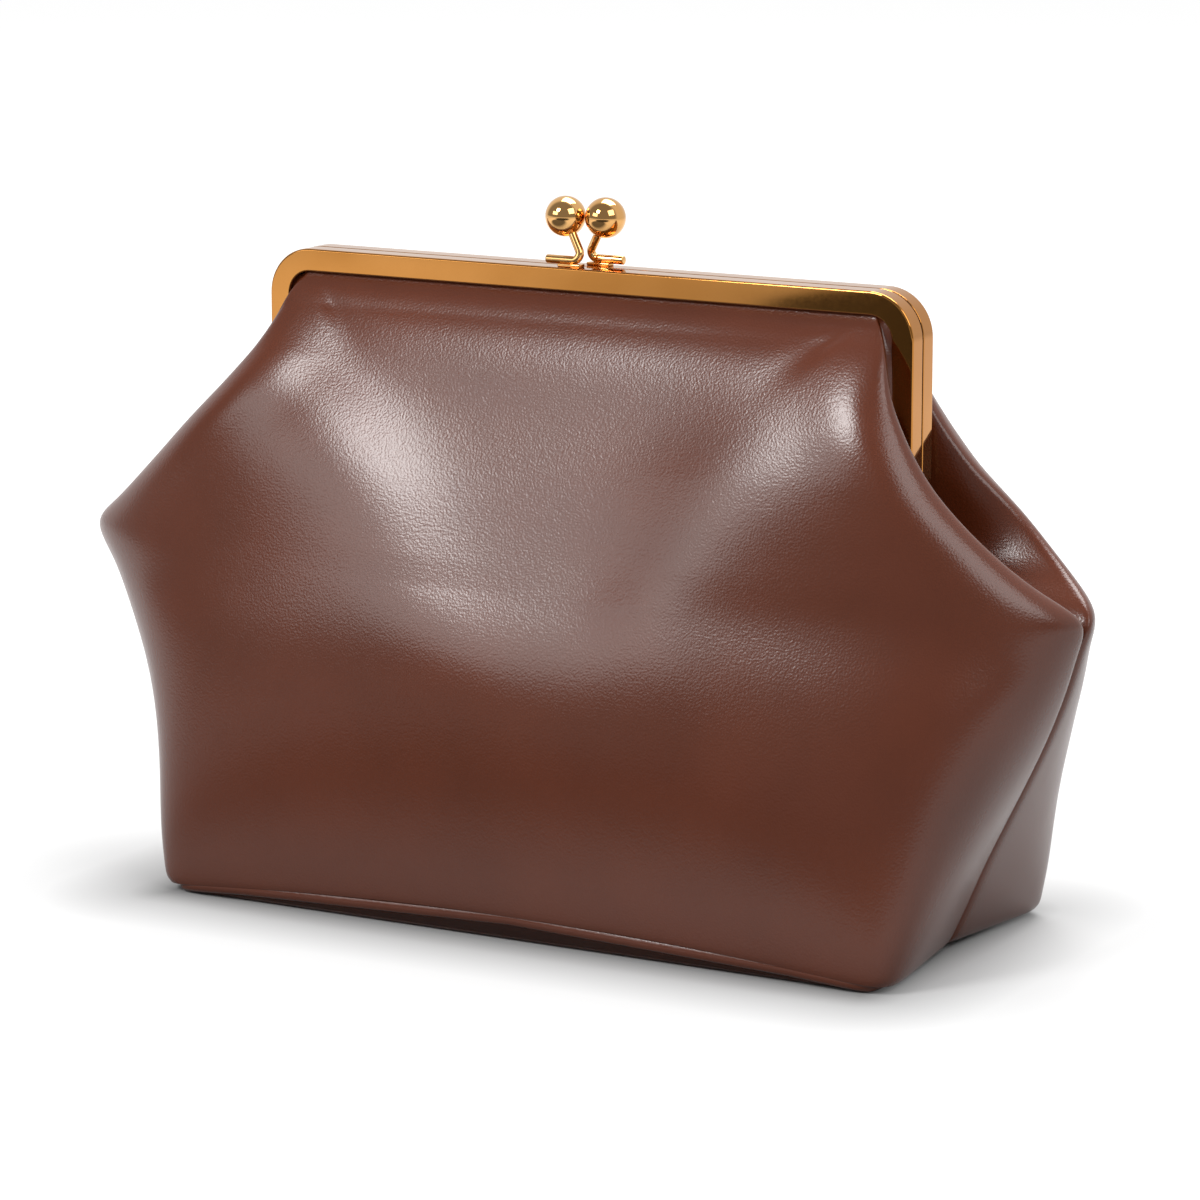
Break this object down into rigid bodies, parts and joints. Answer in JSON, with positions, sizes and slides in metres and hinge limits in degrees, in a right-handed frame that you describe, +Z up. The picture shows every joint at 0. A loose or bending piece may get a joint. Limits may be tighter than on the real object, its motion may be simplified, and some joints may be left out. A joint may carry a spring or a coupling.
{
  "type": "kiss lock frame purse",
  "caption": "Leather clutch purse gathered on a hinged metal channel frame that opens as two halves and closes with a kiss lock of two balls on bent posts.",
  "frame": {"origin": "middle of the base's underside, on the table", "axes": "+X along the frame's width, -Y to the front, +Z up"},
  "size_m": [0.314, 0.105, 0.1971],
  "materials": {
    "leather": "smooth semi-gloss dark brown",
    "gold_metal": "polished light gold plate",
    "lining": "plain woven twill",
    "board": "pressed fibre board",
    "paper_cord": "twisted kraft paper"
  },
  "bodies": {
    "pouch": {"front_panel": "leather", "rear_panel": "leather", "base_panel": "leather", "base_board": "board", "lining_front": "lining", "lining_rear": "lining"},
    "front_half": {"front_rail": "gold_metal", "front_clasp_plate": "gold_metal", "front_clasp_post": "gold_metal", "front_clasp_ball": "gold_metal", "front_paper_cord": "paper_cord", "front_panel_top": "leather", "front_lining_top": "lining"},
    "rear_half": {"rear_rail": "gold_metal", "hinge_rivet_left": "gold_metal", "hinge_rivet_right": "gold_metal", "rear_clasp_plate": "gold_metal", "rear_clasp_post": "gold_metal", "rear_clasp_ball": "gold_metal", "rear_paper_cord": "paper_cord", "rear_panel_top": "leather", "rear_lining_top": "lining"}
  },
  "joints": [
    {"name": "front_frame_open", "type": "hinge", "parent": "pouch", "child": "front_half", "pos_m": [0, 0, 0.113], "axis": [1, 0, 0], "range_deg": [0, 40]},
    {"name": "rear_frame_open", "type": "hinge", "parent": "pouch", "child": "rear_half", "pos_m": [0, 0, 0.113], "axis": [-1, 0, 0], "range_deg": [0, 40]}
  ]
}
